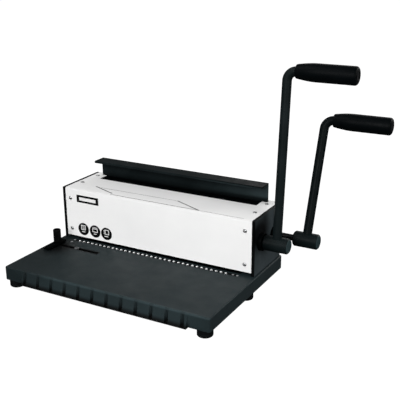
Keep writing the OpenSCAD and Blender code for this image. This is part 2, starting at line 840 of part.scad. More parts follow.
module lever_grip(reach) {
    end = grip_len - grip_round;
    translate([bend_r, 0, reach]) rotate([0, 90, 0]) difference() {
        rotate_extrude() {
            polygon(concat([[0, 0]],
                [for (i = [0 : 12]) [grip_radius(i / 12), grip_taper * i / 12]],
                [[grip_d / 2, end], [0, end]]));
            square([grip_d / 2 - grip_round, grip_len]);
            intersection() {
                translate([grip_d / 2 - grip_round, end]) circle(grip_round);
                square([grip_d, grip_len]);
            }
        }
        rod_z(rod_d + 2 * fit, -cut, stub_len + slide_gap);
        rod_z(grip_cap_d + 2 * fit, grip_len - grip_cap_seat, grip_len + cut);
    }
}

module lever_cap(reach) {
    translate([bend_r + grip_len - grip_cap_seat, 0, reach]) {
        rod_x(grip_cap_d, 0, grip_cap_seat);
        rod_x(grip_cap_d - 2 * grip_cap_step, grip_cap_seat, grip_cap_seat + grip_cap_proud);
    }
}

module lever_set_screw() {
    rod_z(set_screw_d, set_screw_sink - hub_d / 2, -shaft_d / 2 - fit);
}

module punch_lever_at() {
    placed() lever_at(punch_axis_y, punch_axis_z, punch_lean, punch_rod_x) children();
}

module closing_lever_at() {
    placed() lever_at(close_axis_y, close_axis_z, close_lean, close_rod_x) children();
}

module punch_hub() color([0.1, 0.11, 0.11]) punch_lever_at() lever_hub();
module punch_rod() color([0.1, 0.11, 0.11]) punch_lever_at() lever_rod(punch_reach);
module punch_grip() color([0.03, 0.03, 0.03]) punch_lever_at() lever_grip(punch_reach);
module punch_grip_cap() color([0.05, 0.05, 0.05]) punch_lever_at() lever_cap(punch_reach);
module punch_set_screw() color("silver") punch_lever_at() lever_set_screw();
module closing_hub() color([0.1, 0.11, 0.11]) closing_lever_at() lever_hub();
module closing_rod() color([0.1, 0.11, 0.11]) closing_lever_at() lever_rod(close_reach);
module closing_grip() color([0.03, 0.03, 0.03]) closing_lever_at() lever_grip(close_reach);
module closing_grip_cap() color([0.05, 0.05, 0.05]) closing_lever_at() lever_cap(close_reach);
module closing_set_screw() color("silver") closing_lever_at() lever_set_screw();

// Wire closer
module closing_bar() color([0.09, 0.1, 0.1]) placed() difference() {
    along_x(-bar_len / 2, bar_len / 2) {
        square_between(web_y, web_y + bar_t, web_foot, bar_under + bar_t);
        square_between(anvil_y - slide_gap, web_y + bar_t, bar_under, bar_under + bar_t);
        difference() {
            square_between(web_y - bar_t, web_y, bar_under - bar_t, bar_under);
            translate([web_y - bar_t, bar_under - bar_t]) circle(bar_t);
        }
    }
    leg_screw_places() rod_y(leg_screw_d + 2 * fit, web_y - cut, leg_y + cut);
}

module leg_screw_places() {
    both_sides() for (x = [leg_in + leg_screw_in, leg_out - leg_screw_in])
        translate([x, 0, (web_foot + leg_top) / 2]) children();
}

module closing_legs() color([0.3, 0.31, 0.32]) placed() difference() {
    both_sides() {
        block(leg_in, leg_out, leg_y, leg_y + leg_t, foot_top - leg_t, leg_top);
        block(leg_in, leg_out, foot_front, leg_y, foot_top - leg_t, foot_top);
    }
    both_sides() translate([close_post_x, close_post_y, 0])
        rod_z(close_post_d + 2 * run_fit, foot_top - leg_t - cut, foot_top + cut);
    leg_screw_places() rod_y(leg_screw_d + 2 * fit, leg_y - cut, leg_y + leg_t + cut);
}

module leg_screws() color("silver") placed() leg_screw_places()
    rod_y(leg_screw_d, web_y, leg_y + leg_t);

module closing_posts() color("silver") placed() both_sides() translate([close_post_x, close_post_y, 0])
    rod_z(close_post_d, tray_z - close_post_sink, close_post_top);

module closing_springs() color([0.7, 0.7, 0.72]) placed() both_sides()
    translate([close_post_x, close_post_y, tray_z + slide_gap / 2])
        coil(close_coil_r, close_coil_len, close_turns, close_wire);

module closing_shaft() color("silver") placed() translate([0, close_axis_y, close_axis_z])
    rod_x(shaft_d, -frame_x - blind + slide_gap, close_hub_x + bore_depth - slide_gap);

module closing_cams() color([0.5, 0.5, 0.52]) placed() translate([0, close_axis_y, close_axis_z])
    for (s = [-1, 1]) cam(close_cam_r, close_rise, close_swing, s * close_cam_x);

// Edge guide
module edge_guide() color([0.05, 0.05, 0.05]) placed() difference() {
    block(guide_stop_x - guide_w, guide_stop_x, -guide_y - guide_fore, -guide_y + guide_aft,
        tray_z + slide_gap, tray_z + guide_h);
    translate([knob_x, -guide_y, 0]) rod_z(guide_screw_d + 2 * run_fit, tray_z - cut, tray_z + guide_h + cut);
}

module guide_strip() color([0.6, 0.6, 0.62]) placed() difference() {
    block(knob_x - strip_end, stud_x + strip_end, -guide_y - strip_w / 2, -guide_y + strip_w / 2,
        strip_top - strip_t, strip_top);
    translate([knob_x, -guide_y, 0]) rod_z(guide_screw_d + 2 * run_fit, strip_top - strip_t - cut, tray_z);
    translate([stud_x, -guide_y, 0]) rod_z(guide_screw_d + 2 * fit, strip_top - strip_t - cut, tray_z);
}

module guide_stud() color([0.85, 0.86, 0.87]) placed() translate([stud_x, -guide_y, tray_z + slide_gap])
    pan_screw(guide_screw_d, stud_head, stud_head_t, tray_z + slide_gap - strip_top + strip_t);

module edge_knob() color([0.05, 0.05, 0.05]) placed() translate([knob_x, -guide_y, tray_z + guide_h]) {
    difference() {
        rotate_extrude() polygon([[0, slide_gap], [knob_d / 2, slide_gap],
            [knob_d / 2, knob_h - knob_chamfer], [knob_d / 2 - knob_chamfer, knob_h], [0, knob_h]]);
        for (i = [0 : flute_count - 1]) rotate(i * 360 / flute_count)
            translate([knob_d / 2 + flute_out, 0, 0]) rod_z(flute_d, flute_foot, knob_h + cut);
    }
    rod_z(guide_screw_d, strip_top - strip_t - tray_z - guide_h, slide_gap);
}

// Chip drawer, drawn out to the left
module chip_drawer() color([0.12, 0.13, 0.13]) placed() {
    left = -base_w / 2;
    foot = bottom_top + slide_gap;
    difference() {
        block(left, drawer_end, drawer_y, drawer_y + drawer_d, foot, drawer_top);
        block(left + drawer_front, drawer_end - drawer_wall, drawer_y + drawer_wall,
            drawer_y + drawer_d - drawer_wall, foot + drawer_wall, drawer_top + cut);
        translate([left, drawer_y + drawer_d / 2, foot])
            rod_y(2 * drawer_scoop_r, -drawer_scoop_w / 2, drawer_scoop_w / 2);
    }
}

base_tray();
bottom_plate();
feet();
foot_screws();
end_frame_left();
end_frame_right();
frame_bolts();
frame_nuts();
cover();
cover_screws();
rear_panel();
rear_screws();
anvil_bar();
anvil_screws();
die_plate();
throat_spacer();
guide_plate();
die_screws();
pin_rail();
wire_pins();
punch_bar();
punches();
punch_posts();
punch_springs();
punch_shaft();
punch_cams();
shaft_bushes();
bearing_caps();
punch_hub();
punch_rod();
punch_grip();
punch_grip_cap();
punch_set_screw();
closing_bar();
closing_legs();
leg_screws();
closing_posts();
closing_springs();
closing_shaft();
closing_cams();
closing_hub();
closing_rod();
closing_grip();
closing_grip_cap();
closing_set_screw();
edge_guide();
guide_strip();
guide_stud();
edge_knob();
drawer_runners();
chip_drawer();
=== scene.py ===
import json
import math

import bmesh
import bpy
from mathutils import Matrix, Vector


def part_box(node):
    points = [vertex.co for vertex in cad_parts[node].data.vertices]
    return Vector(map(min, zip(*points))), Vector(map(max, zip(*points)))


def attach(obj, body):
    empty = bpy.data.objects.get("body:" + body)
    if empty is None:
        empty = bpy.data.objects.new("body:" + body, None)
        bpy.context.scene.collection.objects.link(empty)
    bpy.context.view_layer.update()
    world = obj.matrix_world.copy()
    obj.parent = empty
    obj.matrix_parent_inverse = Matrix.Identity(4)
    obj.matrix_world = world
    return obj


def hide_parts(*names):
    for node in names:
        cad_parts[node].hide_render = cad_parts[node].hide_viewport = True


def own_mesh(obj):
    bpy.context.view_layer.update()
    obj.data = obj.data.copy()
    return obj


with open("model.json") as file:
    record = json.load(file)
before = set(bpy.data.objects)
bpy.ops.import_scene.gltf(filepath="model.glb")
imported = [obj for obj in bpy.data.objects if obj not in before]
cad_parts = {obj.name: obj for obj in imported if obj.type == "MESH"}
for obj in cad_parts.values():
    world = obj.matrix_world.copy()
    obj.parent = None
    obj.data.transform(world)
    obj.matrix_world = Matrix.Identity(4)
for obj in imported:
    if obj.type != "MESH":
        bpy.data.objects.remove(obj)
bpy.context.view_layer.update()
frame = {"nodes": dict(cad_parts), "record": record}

scene = bpy.context.scene
nodes = frame["nodes"]
bodyOf = {node: body for body, group in frame["record"]["behaviour"]["bodies"].items() for node in group}
slotOf = {part["node"]: part["material_slot"] for part in frame["record"]["subparts"]}
mm = 0.001
coverLow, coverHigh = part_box("cover")
origin = Vector(((coverLow.x + coverHigh.x) / 2, coverLow.y, 0))  # under the middle of the cover's front face
print("frame loaded:", len(nodes), "nodes")


def at(x, y, z):  # machine millimetres to the shared frame
    return origin + mm * Vector((x, y, z))


def inMetres(*sizes):
    return tuple(size * mm for size in sizes)


# Finishes: cloudy colour, uneven gloss and a fine bump, all on Object coordinates

noiseDetail = dict(cloud=6, fleck=2, smudge=4, grain=3)
noiseRange = dict(cloud=(0.32, 0.68), fleck=(0.62, 0.72), smudge=(0.3, 0.7))  # the part of a noise that is used
bumpStrength = 0.6
mixFactor, mixFirst, mixSecond, mixResult = 0, 6, 7, 2  # sockets of a Mix node for colours


def makeFinish(name, look):
    finish = bpy.data.materials.new(name)
    finish.use_nodes = True
    tree = finish.node_tree
    shader = tree.nodes["Principled BSDF"]
    place = tree.nodes.new("ShaderNodeTexCoord").outputs["Object"]
    brush = tree.nodes.new("ShaderNodeMapping")
    brush.inputs["Scale"].default_value = look.get("stretch", (1, 1, 1))
    tree.links.new(place, brush.inputs["Vector"])

    def noise(kind, scale, source):
        cloud = tree.nodes.new("ShaderNodeTexNoise")
        cloud.inputs["Scale"].default_value = scale
        cloud.inputs["Detail"].default_value = noiseDetail[kind]
        tree.links.new(source, cloud.inputs["Vector"])
        return cloud.outputs["Fac"]

    def ramp(kind, factor, first, last):
        step = tree.nodes.new("ShaderNodeValToRGB")
        for stop, position, tone in zip(step.color_ramp.elements, noiseRange[kind], (first, last)):
            stop.position, stop.color = position, (*tone, 1)
        tree.links.new(factor, step.inputs["Fac"])
        return step.outputs["Color"]

    def span(value, low, high, first=0.0, last=1.0):
        step = tree.nodes.new("ShaderNodeMapRange")
        for socket, number in zip(("From Min", "From Max", "To Min", "To Max"), (low, high, first, last)):
            step.inputs[socket].default_value = number
        tree.links.new(value, step.inputs["Value"])
        return step.outputs["Result"]

    def reckon(operation, value, other=0.0):  # other is a number or a second socket
        step = tree.nodes.new("ShaderNodeMath")
        step.operation = operation
        tree.links.new(value, step.inputs[0])
        if isinstance(other, bpy.types.NodeSocket):
            tree.links.new(other, step.inputs[1])
        else:
            step.inputs[1].default_value = other
        return step.outputs["Value"]

    def reckonVector(operation, vector, other=(0, 0, 0)):
        step = tree.nodes.new("ShaderNodeVectorMath")
        step.operation = operation
        tree.links.new(vector, step.inputs[0])
        step.inputs[1].default_value = other
        return step

    def dim(colour, share):  # share is a socket, and past 1 it makes the colour paler
        step = reckonVector("SCALE", colour)
        tree.links.new(share, step.inputs["Scale"])
        return step.outputs["Vector"]

    colour = ramp("cloud", noise("cloud", look["cloud"], place), look["dark"], look["light"])
    if "speck" in look:  # fine dust and flecks
        scale, amount, tone = look["speck"]
        blend = tree.nodes.new("ShaderNodeMix")
        blend.data_type = "RGBA"
        flecks = ramp("fleck", noise("fleck", scale, place), (0, 0, 0), (amount,) * 3)
        tree.links.new(flecks, blend.inputs[mixFactor])
        tree.links.new(colour, blend.inputs[mixFirst])
        blend.inputs[mixSecond].default_value = (*tone, 1)
        colour = blend.outputs[mixResult]
    apart = tree.nodes.new("ShaderNodeSeparateXYZ")
    tree.links.new(place, apart.inputs["Vector"])
    for axis, strongest, plain, share in look.get("fades", ()):  # darker or paler as painted shade or painted highlight, full at the first place, unchanged from plain on
        colour = dim(colour, span(apart.outputs[axis], strongest, plain, share))
    if "grooves" in look:  # painted shade in upright grooves, darkest at their foot
        groove = look["grooves"]
        across = reckon("SUBTRACT", apart.outputs["X"], groove["middle"])
        beside = reckon("PINGPONG", reckon("SUBTRACT", across, groove["pitch"] / 2), groove["pitch"] / 2)
        clear = span(beside, groove["half"] - groove["soft"], groove["half"] + groove["soft"])
        for limit in (span(reckon("ABSOLUTE", across), groove["end"], groove["end"] + groove["soft"]),
                      span(apart.outputs["Y"], groove["back"], groove["back"] + groove["soft"]),
                      span(apart.outputs["Z"], groove["foot"], groove["top"], *groove["shares"])):
            clear = reckon("MAXIMUM", clear, limit)
        colour = dim(colour, clear)
    for pocket in look.get("pockets", ()):  # painted shade, darker as in a slot, or a painted highlight or reflection, paler as on a rim
        outer = "MAXIMUM" if pocket["share"] < 1 else "MINIMUM"
        sides = []
        for axis, middle, half, soft in zip("XYZ", pocket["middle"], pocket["half"], pocket["soft"]):
            away = reckon("ABSOLUTE", reckon("SUBTRACT", apart.outputs[axis], middle))
            sides.append(span(away, half - soft, half + soft, pocket["share"]))
        colour = dim(colour, reckon(outer, reckon(outer, sides[0], sides[1]), sides[2]))
    if "castShadow" in look:  # a painted shadow round a place, thinner outwards
        castShadow = look["castShadow"]
        offset = reckonVector("SUBTRACT", place, castShadow["middle"]).outputs["Vector"]
        spread = reckonVector("DIVIDE", offset, castShadow["reach"]).outputs["Vector"]
        distance = reckonVector("LENGTH", spread).outputs["Value"]
        colour = dim(colour, span(distance, castShadow["core"], 1.0, castShadow["share"]))
    tree.links.new(colour, shader.inputs["Base Color"])

    gloss = span(noise("smudge", look["smudge"], brush.outputs["Vector"]), *noiseRange["smudge"], *look["rough"])
    tree.links.new(gloss, shader.inputs["Roughness"])

    bump = tree.nodes.new("ShaderNodeBump")
    bump.inputs["Strength"].default_value = bumpStrength
    bump.inputs["Distance"].default_value = look["depth"] * mm
    tree.links.new(noise("grain", look["grain"], brush.outputs["Vector"]), bump.inputs["Height"])
    tree.links.new(bump.outputs["Normal"], shader.inputs["Normal"])

    for key, socket in (("shine", "Specular IOR Level"), ("metal", "Metallic")):
        if key in look:
            shader.inputs[socket].default_value = look[key]
    return finish


# Painted shade, shadows, highlights and a reflection on the tray, end frames, closing bar and cover
# A fade is an axis, the two places that it runs between, and the share of the colour before the first
# A pocket is a box, with soft limits, and the share of the colour inside
# painted shade in the front lip's grooves, darkest at their foot
trayGrooveShade = dict(middle=origin.x, pitch=25.7 * mm, half=2.7 * mm, soft=0.8 * mm, end=147 * mm,
                   back=origin.y - 148.2 * mm, foot=12.5 * mm, top=26 * mm, shares=(0.08, 0.75))
# painted shade in and round the edge guide's slot
traySlotShade = dict(middle=at(-128.5, -36.4, 32.2), half=inMetres(44.6, 4.9, 2.4), soft=inMetres(0.3, 0.3, 0.3),
                share=0.03)
# painted shade along the foot of the front lip
lipFootShade = dict(middle=at(0, -150, 10), half=inMetres(150, 6, 6.5), soft=inMetres(3, 3, 3), share=0.08)
# painted highlight on the upper face of the front lip
lipFaceHighlight = dict(middle=at(35, -151.5, 24), half=inMetres(140, 2.9, 8), soft=inMetres(30, 0.4, 1), share=1.2)
# painted highlight along the tray's front top edge, fading out to the left
trayRimHighlight = dict(middle=at(40, -147.6, 33.2), half=inMetres(150, 2.2, 1.7), soft=inMetres(30, 0.6, 0.5), share=1.75)
# painted shade, the tray darker towards its left end
trayLeftShade = ("X", origin.x - 184 * mm, origin.x - 95 * mm, 0.7)
# painted shadow on the tray round the edge guide and its knob
guideShadow = dict(middle=at(-160, -44, 34), reach=inMetres(36, 46, 14), core=0.3, share=0.08)

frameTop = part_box("end_frame_right")[1].z
# painted shade on the end frames' front edges
frameFrontShade = ("Y", origin.y + 0.6 * mm, origin.y + 1.2 * mm, 0.05)
# painted shade on the end frames' top edges
frameTopShade = ("Z", frameTop - 0.2 * mm, frameTop - 0.8 * mm, 0.05)
# painted shadow on the end frame round and above the punch hub
bearingShadow = dict(middle=at(180, 17, 98), reach=inMetres(20, 45, 36), core=0.4, share=0.06)

barLow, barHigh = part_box("closing_bar")
barTall, barMiddle = barHigh.z - barLow.z, (barLow.y + barHigh.y) / 2
# painted shade, the closing bar darker towards its foot
barFootShade = ("Z", barLow.z + 0.28 * barTall, barLow.z + 0.5 * barTall, 0.35)
# painted reflection, a paler band on the bar's face towards its right end
barReflection = dict(middle=(barHigh.x, barMiddle, barLow.z + 0.68 * barTall), half=(70 * mm, 50 * mm, 0.25 * barTall),
                soft=(70 * mm, 1 * mm, 0.05 * barTall), share=3.2)
# painted shade on the bar's top flange towards its right end
barTopShade = dict(middle=(barHigh.x, barMiddle, barHigh.z), half=inMetres(70, 50, 1.6), soft=inMetres(70, 1, 0.4),
               share=0.45)

# painted shade along the cover's front bend, dimming its highlight
coverBendShade = dict(middle=at(0, 0.8, 123.7), half=inMetres(176, 1.1, 1.1), soft=inMetres(0.5, 0.5, 0.5), share=0.8)
# painted shade, a dark band at the cover's left edge like a shadow gap
coverLeftShade = ("X", coverLow.x + 0.9 * mm, coverLow.x + 1.3 * mm, 0.04)

finishLooks = {
    "basePlastic": dict(dark=(0.0098, 0.0163, 0.0180), light=(0.0123, 0.0202, 0.0224), cloud=14, rough=(0.44, 0.58),
                        smudge=30, grain=1500, depth=0.05, speck=(900, 0.3, (0.028, 0.038, 0.04)), shine=0.15,
                        fades=(trayLeftShade,), grooves=trayGrooveShade, pockets=(traySlotShade, lipFootShade, lipFaceHighlight, trayRimHighlight),
                        castShadow=guideShadow),
    "frameCoat": dict(dark=(0.0345, 0.0440, 0.0485), light=(0.0415, 0.0525, 0.0575), cloud=18, rough=(0.42, 0.56),
                      smudge=45, grain=1100, depth=0.08, speck=(1300, 0.3, (0.04, 0.045, 0.05)), shine=0.05,
                      fades=(frameFrontShade, frameTopShade), castShadow=bearingShadow),
    "coverCoat": dict(dark=(0.80, 0.80, 0.80), light=(0.86, 0.86, 0.855), cloud=9, rough=(0.46, 0.58),
                      smudge=22, grain=800, depth=0.05, shine=0.2, fades=(coverLeftShade,), pockets=(coverBendShade,)),
    "blackCoat": dict(dark=(0.003, 0.0055, 0.006), light=(0.006, 0.0095, 0.0102), cloud=24, rough=(0.36, 0.5),
                      smudge=60, grain=1200, depth=0.05, speck=(1500, 0.25, (0.014, 0.02, 0.021)), shine=0.08),
    # a darker copy of blackCoat, painted shade on the closing lever's rod
    "shadedBlackCoat": dict(dark=(0.0016, 0.0029, 0.0032), light=(0.0032, 0.005, 0.0054), cloud=24, rough=(0.36, 0.5),
                      smudge=60, grain=1200, depth=0.05, speck=(1500, 0.25, (0.01, 0.014, 0.015)), shine=0.03),
    "barCoat": dict(dark=(0.0045, 0.0068, 0.0074), light=(0.0075, 0.0108, 0.0116), cloud=24, rough=(0.36, 0.5),
                    smudge=60, grain=1200, depth=0.05, speck=(1500, 0.25, (0.014, 0.02, 0.021)), shine=0.02,
                    fades=(barFootShade,), pockets=(barReflection, barTopShade)),
    "deepBlack": dict(dark=(0.0006, 0.0009, 0.001), light=(0.0014, 0.0018, 0.002), cloud=24, rough=(0.4, 0.55),
                      smudge=60, grain=1200, depth=0.05, shine=0.01),
    "gripPlastic": dict(dark=(0.0009, 0.0015, 0.0019), light=(0.0015, 0.0023, 0.0028), cloud=30, rough=(0.38, 0.5),
                        smudge=80, grain=1800, depth=0.03, shine=0.03),
    "knobPlastic": dict(dark=(0.0008, 0.0009, 0.001), light=(0.0018, 0.0019, 0.002), cloud=60, rough=(0.4, 0.55),
                        smudge=120, grain=2200, depth=0.04, shine=0.06),
    "drawerPlastic": dict(dark=(0.016, 0.017, 0.018), light=(0.024, 0.025, 0.026), cloud=20, rough=(0.45, 0.6),
                          smudge=40, grain=1600, depth=0.04, shine=0.35),
    "rubber": dict(dark=(0.002, 0.0026, 0.003), light=(0.004, 0.005, 0.0056), cloud=70, rough=(0.7, 0.88),
                   smudge=150, grain=2500, depth=0.12, speck=(1800, 0.3, (0.01, 0.011, 0.012)), shine=0.06),
    "sheetSteel": dict(dark=(0.20, 0.21, 0.22), light=(0.30, 0.31, 0.32), cloud=40, rough=(0.36, 0.52),
                       smudge=90, grain=900, depth=0.03, metal=1),
    "brightSteel": dict(dark=(0.72, 0.73, 0.74), light=(0.86, 0.87, 0.88), cloud=160, rough=(0.14, 0.26),
                        smudge=300, grain=1400, depth=0.01, metal=1),
    "screwSteel": dict(dark=(0.30, 0.305, 0.31), light=(0.46, 0.465, 0.47), cloud=260, rough=(0.30, 0.46),
                       smudge=500, grain=2600, depth=0.02, metal=1),
    "dullSteel": dict(dark=(0.14, 0.145, 0.15), light=(0.22, 0.225, 0.23), cloud=260, rough=(0.34, 0.5),
                      smudge=500, grain=2600, depth=0.02, metal=1),
    "toolSteel": dict(dark=(0.34, 0.345, 0.35), light=(0.46, 0.465, 0.47), cloud=50, rough=(0.28, 0.42),
                      smudge=60, grain=500, depth=0.02, stretch=(0.08, 2, 2), metal=1),
    "shaftSteel": dict(dark=(0.006, 0.0064, 0.0067), light=(0.012, 0.0126, 0.013), cloud=120, rough=(0.30, 0.44),
                       smudge=120, grain=900, depth=0.02, stretch=(3, 0.6, 0.6), metal=1),
    "springSteel": dict(dark=(0.30, 0.30, 0.31), light=(0.45, 0.45, 0.46), cloud=300, rough=(0.22, 0.36),
                        smudge=400, grain=2000, depth=0.01, metal=1),
    "bronze": dict(dark=(0.32, 0.19, 0.075), light=(0.45, 0.29, 0.12), cloud=150, rough=(0.32, 0.5),
                   smudge=250, grain=2400, depth=0.03, metal=1),
    "blackPrint": dict(dark=(0.0012, 0.0012, 0.0013), light=(0.0024, 0.0024, 0.0026), cloud=200, rough=(0.45, 0.6),
                       smudge=400, grain=3000, depth=0.01, shine=0.08),
    "whitePrint": dict(dark=(0.76, 0.76, 0.76), light=(0.84, 0.84, 0.84), cloud=200, rough=(0.4, 0.55),
                       smudge=400, grain=3000, depth=0.01, shine=0.3),
    "greyPrintAndShade": dict(dark=(0.06, 0.06, 0.06), light=(0.10, 0.10, 0.10), cloud=120, rough=(0.4, 0.55),
                      smudge=400, grain=3000, depth=0.01, shine=0.3),
}
hubLightAndShade = dict(end=inMetres(0.3, 0.8), highlightShare=5.6, shadeReach=0.65, shadeShare=0.35, shine=0.055)
for name in ("punch", "closing"):  # a painted highlight on the turned end, and painted shade towards the end frame
    hubFoot, hubEnd = [corner.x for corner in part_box(name + "_hub")]
    endHighlight = ("X", hubEnd - hubLightAndShade["end"][0], hubEnd - hubLightAndShade["end"][1], hubLightAndShade["highlightShare"])
    footShade = ("X", hubFoot, hubFoot + hubLightAndShade["shadeReach"] * (hubEnd - hubFoot), hubLightAndShade["shadeShare"])
    finishLooks[name + "HubCoat"] = dict(finishLooks["blackCoat"], fades=(endHighlight, footShade), shine=hubLightAndShade["shine"])
finishes = {name: makeFinish(name, look) for name, look in finishLooks.items()}
slotFinish = {
    "base_plastic": "basePlastic", "sheet_steel": "sheetSteel", "rubber": "rubber", "frame_paint": "frameCoat",
    "cover_paint": "coverCoat", "black_paint": "blackCoat", "grip_plastic": "gripPlastic",
    "knob_plastic": "knobPlastic", "drawer_plastic": "drawerPlastic", "bright_steel": "brightSteel",
    "screw_steel": "screwSteel", "tool_steel": "toolSteel", "shaft_steel": "shaftSteel",
    "spring_steel": "springSteel", "bronze": "bronze"}
print("finishes made:", len(finishes))


# Helpers for the pieces

solidWeld, turnedWeld = 1e-6, 1e-7  # metres between points that are made one
flatAngle = math.radians(0.5)
wholeTurn, quarterTurn = 2 * math.pi, math.pi / 2


def addPiece(name, bm, node=None, slot=None, finish=None, body=None, sharp=50, even=False):
    # node gives the body, slot and finish that a piece doesn't name itself
    slot = slot or slotOf[node]
    mesh = bpy.data.meshes.new(name)
    bm.to_mesh(mesh)
    bm.free()
    mesh.shade_smooth()
    mesh.set_sharp_from_angle(angle=math.radians(sharp))
    mesh.materials.append(finishes[finish or slotFinish[slot]])
    piece = bpy.data.objects.new(name, mesh)
    scene.collection.objects.link(piece)
    if even:  # keeps big flat faces flat beside small rounded edges
        weigh = piece.modifiers.new("evenShading", "WEIGHTED_NORMAL")
        weigh.keep_sharp = True
    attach(piece, body or bodyOf[node])
    if node:
        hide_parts(node)
    return piece


def vertsOf(geom):
    return [item for item in geom if isinstance(item, bmesh.types.BMVert)]


def edgesOf(geom):
    return [item for item in geom if isinstance(item, bmesh.types.BMEdge)]


def ringEdges(verts):
    return list(dict.fromkeys(e for v in verts for e in v.link_edges))


def closeEnds(bm):
    bmesh.ops.holes_fill(bm, edges=[e for e in bm.edges if e.is_boundary], sides=0)
    bmesh.ops.recalc_face_normals(bm, faces=bm.faces)


def copyNode(node):
    bm = bmesh.new()
    bm.from_mesh(nodes[node].data)
    bmesh.ops.remove_doubles(bm, verts=bm.verts, dist=solidWeld)
    bmesh.ops.dissolve_limit(bm, angle_limit=flatAngle, verts=bm.verts, edges=bm.edges)
    return bm


def softenEdges(bm, width, segments=2, angle=30, inward=True):
    # without inward, corners that point into the solid stay sharp, so that a square hole keeps its room
    edges = [e for e in bm.edges if len(e.link_faces) == 2 and e.calc_face_angle() > math.radians(angle)
             and (inward or e.is_convex)]
    bmesh.ops.bevel(bm, geom=edges, offset=width * mm, offset_type="OFFSET", segments=segments, profile=0.5,
                    affect="EDGES", clamp_overlap=False, material=-1)
    bmesh.ops.dissolve_degenerate(bm, dist=solidWeld, edges=bm.edges)


def softProfile(corners, steps=5):
    # corners are (radius, height, fillet) in millimetres; each fillet becomes a short arc
    points = []
    for i, corner in enumerate(corners):
        here, fillet = Vector(corner[:2]), corner[2] if len(corner) > 2 else 0
        if not fillet or i in (0, len(corners) - 1):
            points.append(here)
            continue
        before, after = Vector(corners[i - 1][:2]) - here, Vector(corners[i + 1][:2]) - here
        half = before.angle(after) / 2
        reach = fillet / math.tan(half)
        middle = here + (before.normalized() + after.normalized()).normalized() * fillet / math.sin(half)
        first, last = here + before.normalized() * reach - middle, here + after.normalized() * reach - middle
        points += [middle + fillet * first.slerp(last, step / steps) for step in range(steps + 1)]
    return points


def turned(profile, sides=48, closed=False):
    # a profile of (radius, height) millimetres, spun about Z
    bm = bmesh.new()
    verts = [bm.verts.new((radius * mm, 0, height * mm)) for radius, height in profile]
    edges = [bm.edges.new(pair) for pair in zip(verts, verts[1:])]
    if closed:
        edges.append(bm.edges.new((verts[-1], verts[0])))
    bmesh.ops.spin(bm, geom=verts + edges, cent=(0, 0, 0), axis=(0, 0, 1), angle=wholeTurn, steps=sides,
                   use_merge=True)
    bmesh.ops.remove_doubles(bm, verts=bm.verts, dist=turnedWeld)
    bmesh.ops.recalc_face_normals(bm, faces=bm.faces)
    if bm.calc_volume(signed=True) < 0:  # a deep bore can turn the shell inside out
        bmesh.ops.reverse_faces(bm, faces=bm.faces)
    return bm


def scatter(bm, places):
    # one copy of what bm holds at each place, a matrix
    first = bm.verts[:]
    geom = first + bm.edges[:] + bm.faces[:]
    for place in places[1:]:
        copied = bmesh.ops.duplicate(bm, geom=geom)["geom"]
        bmesh.ops.transform(bm, matrix=place, verts=vertsOf(copied))
    bmesh.ops.transform(bm, matrix=places[0], verts=first)
    return bm


def slab(bm, x, y, z):  # a box between pairs of machine millimetres
    low, high = at(x[0], y[0], z[0]), at(x[1], y[1], z[1])
    size = Matrix.Diagonal((*(high - low), 1))
    bmesh.ops.create_cube(bm, size=1, matrix=Matrix.Translation((low + high) / 2) @ size)


def facing(spot, direction, roll=0):
    turn = Vector(direction).to_track_quat("Z", "Y").to_matrix().to_4x4()
    return Matrix.Translation(spot) @ turn @ Matrix.Rotation(math.radians(roll), 4, "Z")


# Sheet metal, castings and mouldings: the CAD solids with rounded edges, widths in millimetres

roundedNodes = {
    "base_tray": 0.5, "bottom_plate": 0.3, "end_frame_left": 0.6, "end_frame_right": 0.6, "cover": 0.3,
    "rear_panel": 0.3, "anvil_bar": 0.4, "die_plate": 0.3, "throat_spacer": 0.3, "guide_plate": 0.3,
    "pin_rail": 0.2, "punch_bar": 0.4, "closing_bar": 0.7, "closing_legs": 0.5, "punch_hub": 0.5,
    "closing_hub": 0.5, "edge_guide": 1.2, "guide_strip": 0.3, "chip_drawer": 0.4, "drawer_runners": 0.3,
    "punch_cams": 0.3, "closing_cams": 0.3, "shaft_bushes": 0.3, "punch_shaft": 0.5, "closing_shaft": 0.5,
    "punch_posts": 0.4, "closing_posts": 0.5, "frame_nuts": 0.3}
# deep black on the die plate, throat spacer and guide plate is black oxide made darker as painted shade in the
# throat; on the guide strip it is painted shade in the slot
nodeFinish = {
    "anvil_bar": "deepBlack", "die_plate": "deepBlack", "throat_spacer": "deepBlack", "guide_plate": "deepBlack",
    "edge_guide": "deepBlack", "guide_strip": "deepBlack", "closing_bar": "barCoat",
    "punch_hub": "punchHubCoat", "closing_hub": "closingHubCoat"}
squareHoled = ("die_plate", "guide_plate")  # the punches run in their holes
for node, width in roundedNodes.items():
    bm = copyNode(node)
    softenEdges(bm, width, inward=node not in squareHoled)
    addPiece(node + "_formed", bm, node, finish=nodeFinish.get(node), even=True)
print("rounded solids made:", len(roundedNodes))


# Levers: bent rods, moulded grips and their end caps

levers = {
    "punch": dict(axis=(206.5, 22, 85), lean=4.5, reach=259, coat="blackCoat"),
    # the closing rod takes the darker copy of blackCoat as painted shade
    "closing": dict(axis=(235.2, 70.7, 80.2), lean=19, reach=187.5, coat="shadedBlackCoat")}
rod = dict(radius=7, foot=9, bend=14, bendSteps=18, stub=69, sides=40)
grip = dict(neck=10.2, neckFillet=0.9, body=13.3, taper=30, taperSteps=12, length=89, endFillet=4,
            bore=7.03, boreDepth=69.3, seat=9.33, seatDepth=2, seatRim=(0.6, 0.5), filletSteps=7, sides=64)
gripCap = dict(sides=56, profile=[  # heights from the grip's end
    (0, -2), (9.3, -2), (9.3, 0, 0.4), (8.3, 0), (8.3, 0.5, 0.3), (5.6, 0.5, 0.5), (5.2, 0.1, 0.4), (0, 0.1)])


